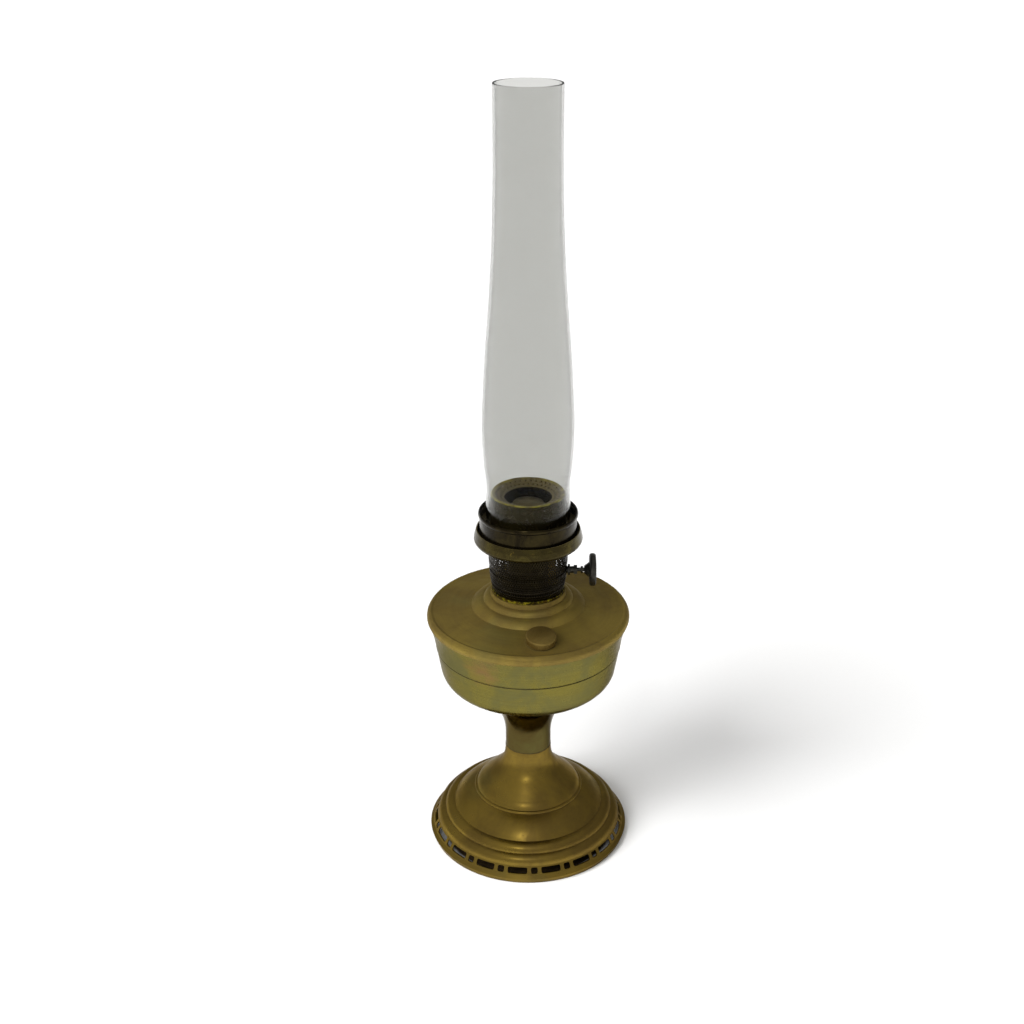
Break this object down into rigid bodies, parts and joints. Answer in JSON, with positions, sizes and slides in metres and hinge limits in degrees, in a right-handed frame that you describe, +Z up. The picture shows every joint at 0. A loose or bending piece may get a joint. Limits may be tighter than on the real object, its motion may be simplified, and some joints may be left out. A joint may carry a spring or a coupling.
{
  "type": "kerosene table lamp",
  "caption": "Brass kerosene table lamp: slotted bell foot, stem, round font with filler cap, round-wick burner with side knob, tall clear glass chimney.",
  "frame": {"origin": "on the lamp's axis, in the plane that the foot stands on", "axes": "+Z up along the lamp's axis; +X towards the wick knob; the filler cap lies towards -Y"},
  "size_m": [0.161, 0.161, 0.5935],
  "materials": {
    "aged_brass": "old polished spun brass with brown tarnish",
    "bright_brass": "worn bright brass",
    "dark_bronze": "heat-darkened brass",
    "blackened_steel": "blackened steel, dull",
    "clear_glass": "clear blown glass, polished",
    "cotton": "woven cotton wick, charred at the top",
    "cork": "pressed cork"
  },
  "bodies": {
    "lamp": {"foot": "aged_brass", "stem": "aged_brass", "font_bowl": "aged_brass", "font_top": "aged_brass", "filler_neck": "aged_brass", "burner_collar": "bright_brass", "draft_tube": "dark_bronze"},
    "gasket": {"filler_gasket": "cork"},
    "cap": {"filler_cap": "aged_brass"},
    "burner": {"burner_base": "bright_brass", "burner_floor": "dark_bronze", "burner_basket": "dark_bronze", "outer_wick_tube": "dark_bronze", "spindle_gland": "dark_bronze", "gland_nut": "dark_bronze", "bayonet_pins": "dark_bronze"},
    "raiser": {"spindle": "blackened_steel", "pinion": "aged_brass", "wick_knob": "blackened_steel", "knob_rivet": "blackened_steel"},
    "wick": {"wick": "cotton", "wick_carrier": "aged_brass", "wick_rack": "aged_brass"},
    "gallery": {"gallery_ring": "dark_bronze", "chimney_cup": "dark_bronze", "chimney_seat": "dark_bronze", "chimney_springs": "dark_bronze", "gallery_drum": "dark_bronze"},
    "glass": {"chimney": "clear_glass"},
    "spreader": {"spreader_sleeve": "dark_bronze", "flame_spreader": "dark_bronze"}
  },
  "joints": [
    {"name": "cap_rise", "type": "slide", "parent": "lamp", "child": "gasket", "axis": [0.025, -0.1528, 0.9879], "range_m": [0, 0.00376]},
    {"name": "cap_turn", "type": "hinge", "parent": "gasket", "child": "cap", "pos_m": [0.00932, -0.05694, 0.20385], "axis": [0.025, -0.1528, 0.9879], "range_deg": [0, 1080]},
    {"name": "burner_lift", "type": "slide", "parent": "lamp", "child": "burner", "axis": [0, 0, 1], "range_m": [0, 0.15]},
    {"name": "knob_turn", "type": "hinge", "parent": "burner", "child": "raiser", "pos_m": [0, 0, 0.2345], "axis": [1, 0, 0], "range_deg": [-98, 130]},
    {"name": "wick_lift", "type": "slide", "parent": "burner", "child": "wick", "axis": [0, 0, 1], "range_m": [-0.008, 0.006]},
    {"name": "gallery_turn", "type": "hinge", "parent": "burner", "child": "gallery", "pos_m": [0, 0, 0.2589], "axis": [0, 0, 1], "range_deg": [0, 25]},
    {"name": "chimney_lift", "type": "slide", "parent": "gallery", "child": "glass", "axis": [0, 0, 1], "range_m": [0, 0.06]},
    {"name": "flame_spreader_lift", "type": "slide", "parent": "lamp", "child": "spreader", "axis": [0, 0, 1], "range_m": [0, 0.06]}
  ],
  "couplings": [
    {"joint": "cap_rise", "follows": "cap_turn", "m_per_rad": 0.00019894},
    {"joint": "wick_lift", "follows": "knob_turn", "m_per_rad": -0.0035}
  ]
}
